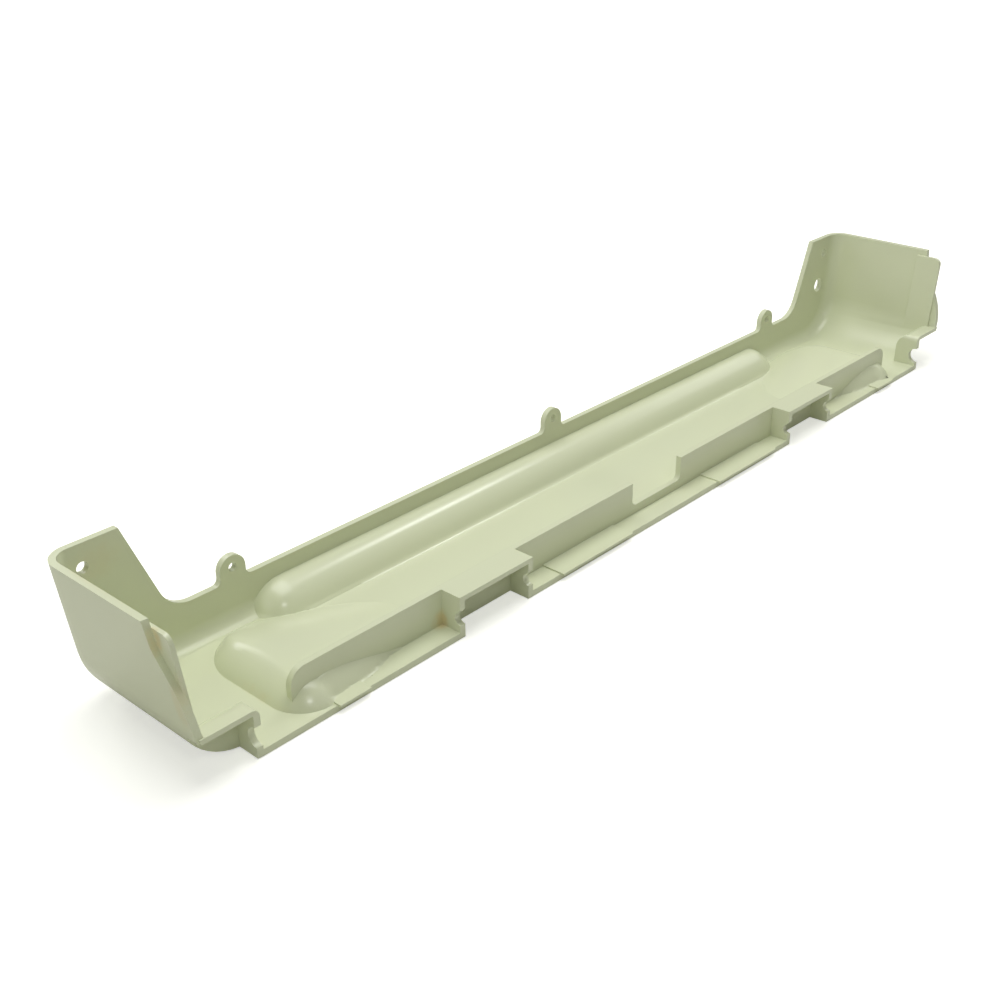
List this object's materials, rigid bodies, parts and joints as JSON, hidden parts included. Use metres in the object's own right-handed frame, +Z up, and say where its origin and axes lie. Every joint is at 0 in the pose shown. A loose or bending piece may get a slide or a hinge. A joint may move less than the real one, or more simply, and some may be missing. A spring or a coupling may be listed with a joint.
{
  "type": "side panel",
  "caption": "Long shallow moulded side panel with tall rounded end walls, screw tabs on its rear wall, a ribbed front ledge with pockets, and smooth bulges in its floor.",
  "frame": {"origin": "middle of the panel's box, on the flat underside that it rests on", "axes": "+X along the panel's length, +Y from the open front ledge to the rear wall with the screw tabs, +Z up"},
  "size_m": [0.78, 0.1126, 0.0906],
  "materials": {
    "moulding": "satin moulded plastic, pale grey-green"
  },
  "bodies": {
    "root": {"side_panel": "moulding"}
  },
  "joints": []
}
